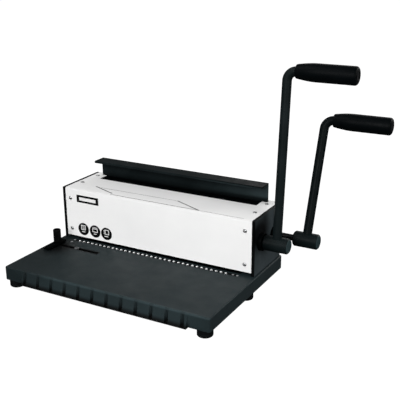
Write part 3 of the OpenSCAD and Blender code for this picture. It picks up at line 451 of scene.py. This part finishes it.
def rodMesh(reach):
    bm = bmesh.new()
    start = Matrix.Translation((0, 0, rod["foot"] * mm))
    ring = bmesh.ops.create_circle(bm, radius=rod["radius"] * mm, segments=rod["sides"], matrix=start)["verts"]

    def draw(edges, step):
        grown = bmesh.ops.extrude_edge_only(bm, edges=edges)["geom"]
        bmesh.ops.translate(bm, vec=step, verts=vertsOf(grown))
        return edgesOf(grown)

    edges = draw(ringEdges(ring), (0, 0, (reach - rod["bend"] - rod["foot"]) * mm))
    verts = list(dict.fromkeys(v for e in edges for v in e.verts))
    bent = bmesh.ops.spin(bm, geom=verts + edges, cent=(rod["bend"] * mm, 0, (reach - rod["bend"]) * mm),
                          axis=(0, 1, 0), angle=quarterTurn, steps=rod["bendSteps"])["geom_last"]
    draw(edgesOf(bent), (rod["stub"] * mm, 0, 0))
    bmesh.ops.remove_doubles(bm, verts=bm.verts, dist=turnedWeld)
    closeEnds(bm)
    return bm


def gripMesh():
    neck, body, end, seat = grip["neck"], grip["body"], grip["length"], grip["seat"]
    floor = end - grip["seatDepth"]
    steps = grip["taperSteps"]
    swell = [(neck + (body - neck) * math.sin(quarterTurn * step / steps), grip["taper"] * step / steps)
             for step in range(1, steps + 1)]
    corners = [(0, grip["boreDepth"]), (grip["bore"], grip["boreDepth"]), (grip["bore"], 0),
               (neck, 0, grip["neckFillet"]), *swell, (body, end, grip["endFillet"]),
               (seat + grip["seatRim"][0], end), (seat, end - grip["seatRim"][1]), (seat, floor), (0, floor)]
    return turned(softProfile(corners, grip["filletSteps"]), grip["sides"])


def gripCapMesh():
    corners = [(radius, grip["length"] + height, *fillet) for radius, height, *fillet in gripCap["profile"]]
    return turned(softProfile(corners), gripCap["sides"])


for name, lever in levers.items():
    place = Matrix.Translation(at(*lever["axis"])) @ Matrix.Rotation(math.radians(-lever["lean"]), 4, "X")
    rodEnd = Matrix.Translation((rod["bend"] * mm, 0, lever["reach"] * mm))
    along = rodEnd @ Matrix.Rotation(quarterTurn, 4, "Y")
    bm = rodMesh(lever["reach"])
    bmesh.ops.transform(bm, matrix=place, verts=bm.verts)
    addPiece(name + "_bent_rod", bm, name + "_rod", finish=lever["coat"])
    for part, bm in (("grip", gripMesh()), ("grip_cap", gripCapMesh())):
        bmesh.ops.transform(bm, matrix=place @ along, verts=bm.verts)
        addPiece(name + "_turned_" + part, bm, name + "_" + part, sharp=35)
print("levers made:", len(levers))


# Screws with a pressed cross recess

screwHead = dict(  # apart from sides and chamfer, shares of the head's radius or thickness
    sides=24, chamfer=0.15, wall=0.3, dome=0.7, domeRings=(0.96, 0.88, 0.76, 0.62),
    arm=0.52, armHalf=0.12, lipDrop=0.06, floor=0.7, floorHeight=0.35)


def crossScrew(head, thick, shank, length):
    # seat at z = 0, shank down; the dome is bridged from rings to the cross's outline
    bm = bmesh.new()
    radius = head / 2
    ball = (radius ** 2 + (screwHead["dome"] * thick) ** 2) / (2 * screwHead["dome"] * thick)
    rings = [(shank / 2, -length), (shank / 2, 0), (radius - screwHead["chamfer"], 0), (radius, screwHead["chamfer"]),
             (radius, screwHead["wall"] * thick)]
    for share in screwHead["domeRings"]:
        rings.append((share * radius, thick - ball + math.sqrt(ball ** 2 - (share * radius) ** 2)))

    def circle(ringRadius, height):
        level = Matrix.Translation((0, 0, height * mm))
        made = bmesh.ops.create_circle(bm, radius=ringRadius * mm, segments=screwHead["sides"], matrix=level)
        return ringEdges(made["verts"])

    loops = [circle(ringRadius, height) for ringRadius, height in rings]
    for low, high in zip(loops, loops[1:]):
        bmesh.ops.bridge_loops(bm, edges=low + high)
    bmesh.ops.edgeloop_fill(bm, edges=loops[0])
    arm, wide = screwHead["arm"] * radius, screwHead["armHalf"] * radius
    corners = [(arm, -wide), (arm, wide), (wide, wide), (wide, arm), (-wide, arm), (-wide, wide), (-arm, wide),
               (-arm, -wide), (-wide, -wide), (-wide, -arm), (wide, -arm), (wide, -wide)]

    def cross(share, height):
        verts = [bm.verts.new((x * share * mm, y * share * mm, height * mm)) for x, y in corners]
        return [bm.edges.new(pair) for pair in zip(verts, verts[1:] + verts[:1])]

    lip = cross(1, thick - screwHead["lipDrop"] * thick)
    floor = cross(screwHead["floor"], screwHead["floorHeight"] * thick)
    bmesh.ops.bridge_loops(bm, edges=loops[-1] + lip)
    bmesh.ops.bridge_loops(bm, edges=lip + floor)
    bmesh.ops.edgeloop_fill(bm, edges=floor)
    bmesh.ops.recalc_face_normals(bm, faces=bm.faces)
    return bm


bothSides = (-1, 1)
footSpots = [(side * x, y) for side in bothSides for x, y in ((170, -137), (170, -7), (153.8, 85))]
screwRows = {
    "cover_screws": dict(head=6.4, thick=2, shank=4, length=4.5, rolls=(14, 52, 31, 8, 70, 25, 61, 40),
                         spots=[((side * 164, 0, z), (0, -1, 0)) for side in bothSides for z in (52.2, 106.8)]
                         + [((side * 164, y, 124.5), (0, 0, 1)) for side in bothSides for y in (34.5, 79)]),
    "rear_screws": dict(head=6.4, thick=2, shank=4, length=4.5, rolls=(20, 66, 35, 50),
                        spots=[((side * 166.5, 99, z), (0, 1, 0)) for side in bothSides for z in (62, 100)]),
    "frame_bolts": dict(head=9, thick=3, shank=5, length=10.5, rolls=(10, 33, 58, 71),
                        spots=[((side * 166.5, y, 37), (0, 0, 1)) for side in bothSides for y in (44, 85)]),
    "die_screws": dict(head=7, thick=3, shank=4, length=19.5, rolls=(15, 48),
                       spots=[((side * 152.0, 24, 45.2), (0, 0, 1)) for side in bothSides]),
    "foot_screws": dict(head=8, thick=2, shank=4, length=15.5, rolls=(5, 40, 63, 22, 77, 51),
                        spots=[((x, y, 4), (0, 0, -1)) for x, y in footSpots]),
    "guide_stud": dict(head=9, thick=1.6, shank=6, length=5.8, rolls=(38,), finish="dullSteel",
                       spots=[((-128.5, -36, 34.3), (0, 0, 1))])}
for node, row in screwRows.items():
    places = [facing(at(*spot), direction, roll) for (spot, direction), roll in zip(row["spots"], row["rolls"])]
    bm = scatter(crossScrew(row["head"], row["thick"], row["shank"], row["length"]), places)
    addPiece(node + "_crossed", bm, node, finish=row.get("finish"), sharp=40)
print("screws made:", sum(len(row["spots"]) for row in screwRows.values()))


# Turned small pieces: feet, wire pins, bearing caps

foot = dict(sides=48, profile=[
    (2.05, 12), (11.75, 12, 0.6), (11.75, 6.6, 0.6), (10.9, 5.9, 0.4), (11.75, 5.2, 0.5), (11.75, 0, 2.4),
    (4.3, 0, 0.5), (4.3, 4), (2.05, 4)])
bm = turned(softProfile(foot["profile"]), foot["sides"], closed=True)
scatter(bm, [Matrix.Translation(at(x, y, 0)) for x, y in footSpots])
addPiece("rubber_feet", bm, "feet", sharp=40)

pin = dict(count=34, pitch=8.467, y=-6.4, z=34, radius=2.5, rise=1.5, stem=1.2, sunk=1, domeSteps=5, sides=20)
ball = (pin["radius"] ** 2 + pin["rise"] ** 2) / (2 * pin["rise"])
leans = [math.asin(pin["radius"] / ball) * step / pin["domeSteps"] for step in range(pin["domeSteps"] + 1)]
profile = [(ball * math.sin(lean), pin["rise"] - ball * (1 - math.cos(lean))) for lean in leans]
profile += [(pin["stem"], 0), (pin["stem"], -pin["sunk"]), (0, -pin["sunk"])]
spots = [at((i - pin["count"] / 2) * pin["pitch"], pin["y"], pin["z"]) for i in range(pin["count"])]
bm = scatter(turned(profile, pin["sides"]), [Matrix.Translation(spot) for spot in spots])
addPiece("wire_pin_domes", bm, "wire_pins", sharp=40)

bearing = dict(x=180.0, spots=((22, 85), (70.7, 80.2)), sides=56, profile=[
    (5.3, 0), (14, 0, 0.3), (14, 6, 1.2), (9.5, 6, 0.4), (9.1, 5.5, 0.4), (5.3, 5.5)])
bm = turned(softProfile(bearing["profile"]), bearing["sides"], closed=True)
scatter(bm, [facing(at(bearing["x"], y, z), (1, 0, 0)) for y, z in bearing["spots"]])
# the caps are deep black, partly as painted shade round the hubs
addPiece("bearing_cap_rings", bm, "bearing_caps", finish="deepBlack", sharp=40)
print("feet, pins and caps made")


# Springs: one wire, spun up along its axis, as long as the CAD spring

springs = {
    "punch_springs": dict(joint="punch_bar_slide", stroke=8, coil=3.8, wire=0.6, turns=7),
    "closing_springs": dict(joint="closing_bar_slide", stroke=20, coil=6.2, wire=0.8, turns=6)}
wireSides, stepsPerTurn = 10, 28
for node, spring in springs.items():
    low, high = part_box(node)
    length = (high.z - low.z) / mm
    bm = bmesh.new()
    start = Matrix.Translation((spring["coil"] * mm, 0, spring["wire"] * mm)) @ Matrix.Rotation(quarterTurn, 4, "X")
    ring = bmesh.ops.create_circle(bm, radius=spring["wire"] * mm, segments=wireSides, matrix=start)["verts"]
    steps = stepsPerTurn * spring["turns"]
    bmesh.ops.spin(bm, geom=ring + ringEdges(ring), cent=(0, 0, 0), axis=(0, 0, 1), angle=wholeTurn * spring["turns"],
                   dvec=(0, 0, (length - 2 * spring["wire"]) * mm / steps), steps=steps)
    closeEnds(bm)
    y = (low.y + high.y) / 2
    apart = (high.x - low.x) / 2 - (spring["coil"] + spring["wire"]) * mm
    scatter(bm, [Matrix.Translation((origin.x + side * apart, y, low.z)) for side in bothSides])
    piece = addPiece(node + "_wound", bm, node, sharp=60)
    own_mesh(piece)
print("springs made:", len(springs))


# Edge guide knob with fluted grip

knob = dict(x=-168.506, y=-36, foot=39.3, top=61, radius=6.5, flutes=14, fluteDepth=0.55, fluteCurve=1.5,
            fluteSides=12, rim=1.1, rimSegments=4, rimAngle=60, dishInset=1.2, dish=0.5,
            shank=3, shankFoot=28.5, shankSunk=0.2, shankSides=24)
bm = bmesh.new()
ring = bmesh.ops.create_circle(bm, radius=knob["radius"] * mm, segments=knob["fluteSides"] * knob["flutes"],
                               cap_ends=True)["verts"]
for v in ring:  # scallops between rounded ribs
    wave = 0.5 - 0.5 * math.cos(knob["flutes"] * math.atan2(v.co.y, v.co.x))
    v.co *= 1 - knob["fluteDepth"] / knob["radius"] * wave ** knob["fluteCurve"]
grown = bmesh.ops.extrude_face_region(bm, geom=bm.faces[:])["geom"]
bmesh.ops.translate(bm, vec=(0, 0, (knob["top"] - knob["foot"]) * mm), verts=vertsOf(grown))
bmesh.ops.recalc_face_normals(bm, faces=bm.faces)
rims = [e for e in bm.edges if len(e.link_faces) == 2 and e.calc_face_angle() > math.radians(knob["rimAngle"])]
bmesh.ops.bevel(bm, geom=rims, offset=knob["rim"] * mm, offset_type="OFFSET", segments=knob["rimSegments"],
                profile=0.5, affect="EDGES", clamp_overlap=False, material=-1)
top = max(bm.faces, key=lambda face: face.calc_center_median().z + face.calc_area())
bmesh.ops.inset_region(bm, faces=[top], thickness=knob["dishInset"] * mm, depth=0)
bmesh.ops.translate(bm, vec=(0, 0, -knob["dish"] * mm), verts=top.verts)  # dished end
shankFoot = knob["shankFoot"] - knob["foot"]
shank = turned([(0, shankFoot), (knob["shank"], shankFoot), (knob["shank"], knob["shankSunk"]),
                (0, knob["shankSunk"])], knob["shankSides"])
carry = bpy.data.meshes.new("knobShank")  # takes the shank over into the knob's mesh
shank.to_mesh(carry)
shank.free()
bm.from_mesh(carry)
bpy.data.meshes.remove(carry)
bmesh.ops.translate(bm, vec=at(knob["x"], knob["y"], knob["foot"]), verts=bm.verts)
addPiece("fluted_knob", bm, "edge_knob", sharp=40)
print("knob made")


# Prints on the cover: an empty outlined plate, three discs with plain marks, thin lines on the top, the last of them
# painted shade along the bend

plate = dict(x=(-151.2, -106.3), z=(101.4, 114.4), sides=5.5, rims=3.7, thick=0.15, proud=0.1, soft=0.04)
fieldX = (plate["x"][0] + plate["sides"], plate["x"][1] - plate["sides"])
fieldZ = (plate["z"][0] + plate["rims"], plate["z"][1] - plate["rims"])
bm = bmesh.new()
slab(bm, plate["x"], (-plate["thick"], 0), plate["z"])
softenEdges(bm, plate["soft"], 1)
addPiece("plate_border", bm, slot="black_paint", finish="blackPrint", body="frame", sharp=30)
bm = bmesh.new()
slab(bm, fieldX, (-plate["thick"] - plate["proud"], -plate["thick"] / 2), fieldZ)
softenEdges(bm, plate["soft"], 1)
addPiece("plate_field", bm, slot="cover_paint", finish="whitePrint", body="frame", sharp=30)

disc = dict(radius=11, taper=0.1, z=54.1, centres=(-140.2, -116, -92.5), thick=0.2, sides=48)
bm = bmesh.new()
for x in disc["centres"]:
    bmesh.ops.create_cone(bm, cap_ends=True, segments=disc["sides"], radius1=disc["radius"] * mm,
                          radius2=(disc["radius"] - disc["taper"]) * mm, depth=disc["thick"] * mm,
                          matrix=facing(at(x, -disc["thick"] / 2, disc["z"]), (0, -1, 0)))
addPiece("mark_discs", bm, slot="black_paint", finish="blackPrint", body="frame", sharp=40)

marks = dict(stroke=1.1, proud=0.12, sunk=0.02, footZ=(-5.4, -4.2))
figures = [  # a frame, its bars and a small bar at the foot, as x and z from the disc's middle
    dict(frame=((-4.6, 4.6), (-1.6, 7)), foot=3.4,  # a sheet with two lines
         bars=[((-2.4, 2.4), (level, level + 0.9)) for level in (1.1, 3.5)]),
    dict(frame=((-5.4, 5.4), (-1.6, 5)), foot=2.8,  # a sheet under a row of punches
         bars=[((-4.6 + 2.6 * hole, -3.2 + 2.6 * hole), (5.8, 7.4)) for hole in range(4)]),
    dict(frame=((-3, 5.2), (-1.6, 7)), foot=3.8,  # a booklet with loops along its back
         bars=[((-5.4, -3.6), (-0.6 + 2.7 * loop, 0.6 + 2.7 * loop)) for loop in range(3)])]
markFront, markBack = -disc["thick"] - marks["proud"], -disc["thick"] + marks["sunk"]


def mark(bm, centre, x, z):  # a white bar on a disc
    slab(bm, (centre + x[0], centre + x[1]), (markFront, markBack), (disc["z"] + z[0], disc["z"] + z[1]))


def outline(bm, centre, x, z):  # a white frame, cut from one face and drawn out to the marks' thickness
    corners = ((x[0], z[0]), (x[1], z[0]), (x[1], z[1]), (x[0], z[1]))
    field = bm.faces.new([bm.verts.new(at(centre + across, markBack, disc["z"] + up)) for across, up in corners])
    field.normal_update()
    rim = bmesh.ops.inset_region(bm, faces=[field], thickness=marks["stroke"] * mm, use_boundary=True,
                                 use_even_offset=True)["faces"]
    bmesh.ops.delete(bm, geom=[field], context="FACES_ONLY")
    grown = bmesh.ops.extrude_face_region(bm, geom=rim)["geom"]
    bmesh.ops.translate(bm, vec=(0, (markFront - markBack) * mm, 0), verts=vertsOf(grown))


bm = bmesh.new()
for centre, figure in zip(disc["centres"], figures):
    outline(bm, centre, *figure["frame"])
    for x, z in figure["bars"]:
        mark(bm, centre, x, z)
    mark(bm, centre, (-figure["foot"], figure["foot"]), marks["footZ"])
bmesh.ops.recalc_face_normals(bm, faces=bm.faces)
addPiece("mark_figures", bm, slot="cover_paint", finish="whitePrint", body="frame", sharp=30)

# the last run, along the front bend past the right diagonal, is painted shade of the bend; the others are print
lines = dict(thick=0.06, z=124.5, runs=(  # from, to and width
    ((-129.7, 27.2), (-83.8, 8.8), 2.3), ((31.7, 26.8), (83.1, 3.4), 2.3), ((-118, 25.2), (31.7, 26.8), 0.8),
    ((-83.8, 3.6), (83.1, 3.6), 1.3), ((83.4, 3.3), (160, 3.3), 0.7)))
bm = bmesh.new()
for first, last, width in lines["runs"]:
    start, end = at(*first, lines["z"]), at(*last, lines["z"])
    run = end - start
    turn = Matrix.Translation((start + end) / 2) @ Matrix.Rotation(math.atan2(run.y, run.x), 4, "Z")
    size = Matrix.Diagonal((run.length, width * mm, 2 * lines["thick"] * mm, 1))
    bmesh.ops.create_cube(bm, size=1, matrix=turn @ size)
addPiece("top_lines", bm, slot="cover_paint", finish="greyPrintAndShade", body="frame", sharp=30)

railScrews = dict(head=4.2, thick=0.7, shank=2, length=0.8, z=34, rolls=(20, 51, 82, 113),
                  spots=((-154.9, -6.3), (-154.5, -16.5), (147.4, -6.4), (155, -6.4)))
bm = crossScrew(railScrews["head"], railScrews["thick"], railScrews["shank"], railScrews["length"])
scatter(bm, [facing(at(x, y, railScrews["z"]), (0, 0, 1), roll)
             for (x, y), roll in zip(railScrews["spots"], railScrews["rolls"])])
addPiece("rail_screws", bm, slot="screw_steel", body="frame", sharp=40)
print("prints and rail screws made")


# CAD nodes that keep their own shape
for node, solid in nodes.items():
    for entry in solid.material_slots:
        entry.material = finishes[slotFinish[slotOf[node]]]


# Floor, light and camera

floorShape = dict(radius=16, sides=64)
floorLook = dict(dark=(0.09, 0.09, 0.09), light=(0.10, 0.10, 0.10), cloud=0.6, rough=(0.85, 0.95), smudge=2, grain=60,
                 depth=0.05, shine=0.0)
floorMesh = bpy.data.meshes.new("floor")
bm = bmesh.new()
bmesh.ops.create_circle(bm, cap_ends=True, radius=floorShape["radius"], segments=floorShape["sides"])
bm.to_mesh(floorMesh)
bm.free()
floor = bpy.data.objects.new("floor", floorMesh)
scene.collection.objects.link(floor)
paper = makeFinish("floorPaper", floorLook)
floorMesh.materials.append(paper)
glow = paper.node_tree  # white to the camera, dark to everything above it
glow.nodes["Principled BSDF"].inputs["Emission Color"].default_value = (1, 1, 1, 1)
glow.links.new(glow.nodes.new("ShaderNodeLightPath").outputs["Is Camera Ray"],
               glow.nodes["Principled BSDF"].inputs["Emission Strength"])

skyLevels = dict(light=0.24, behind=1.0)  # full white behind, softer as light
studio = bpy.data.worlds.new("studio")
studio.use_nodes = True
sky = studio.node_tree
strength = sky.nodes.new("ShaderNodeMapRange")
strength.inputs["To Min"].default_value = skyLevels["light"]
strength.inputs["To Max"].default_value = skyLevels["behind"]
sky.links.new(sky.nodes.new("ShaderNodeLightPath").outputs["Is Camera Ray"], strength.inputs["Value"])
sky.nodes["Background"].inputs["Color"].default_value = (1, 1, 1, 1)
sky.links.new(strength.outputs["Result"], sky.nodes["Background"].inputs["Strength"])
scene.world = studio

lampAim = Vector((0, 0, 0.1))
lamps = {
    "keyLight": dict(spot=(0.1, -2.15, 1.15), size=(1.2, 1.0), power=45),
    "sideLight": dict(spot=(2.0, -0.9, 0.9), size=(1.0, 1.0), power=24),
    "backLight": dict(spot=(-0.1, 1.8, 0.9), size=(1.4, 1.0), power=8),
    "rearLight": dict(spot=(1.2, 1.8, 0.7), size=(1.0, 0.8), power=12),
    "topLight": dict(spot=(-0.8, -0.6, 1.8), size=(1.0, 0.8), power=10)}
for name, lamp in lamps.items():
    data = bpy.data.lights.new(name, "AREA")
    data.shape = "RECTANGLE"
    data.size, data.size_y = lamp["size"]
    data.energy = lamp["power"]
    light = bpy.data.objects.new(name, data)
    light.location = lamp["spot"]
    light.rotation_euler = (lampAim - Vector(lamp["spot"])).to_track_quat("-Z", "Y").to_euler()
    scene.collection.objects.link(light)

eye = dict(place=at(609.263, -942.984, 513.441), turn=28.976, down=18.956, roll=-0.305, lens=67.128, sensor=36)
camera = bpy.data.objects.new("camera", bpy.data.cameras.new("camera"))
camera.data.lens, camera.data.sensor_width = eye["lens"], eye["sensor"]
camera.matrix_world = (Matrix.Translation(eye["place"]) @ Matrix.Rotation(math.radians(eye["turn"]), 4, "Z")
                       @ Matrix.Rotation(math.radians(90 - eye["down"]), 4, "X")
                       @ Matrix.Rotation(math.radians(eye["roll"]), 4, "Z"))
scene.collection.objects.link(camera)
scene.camera = camera
scene.view_settings.view_transform = "Standard"
print("stage set")
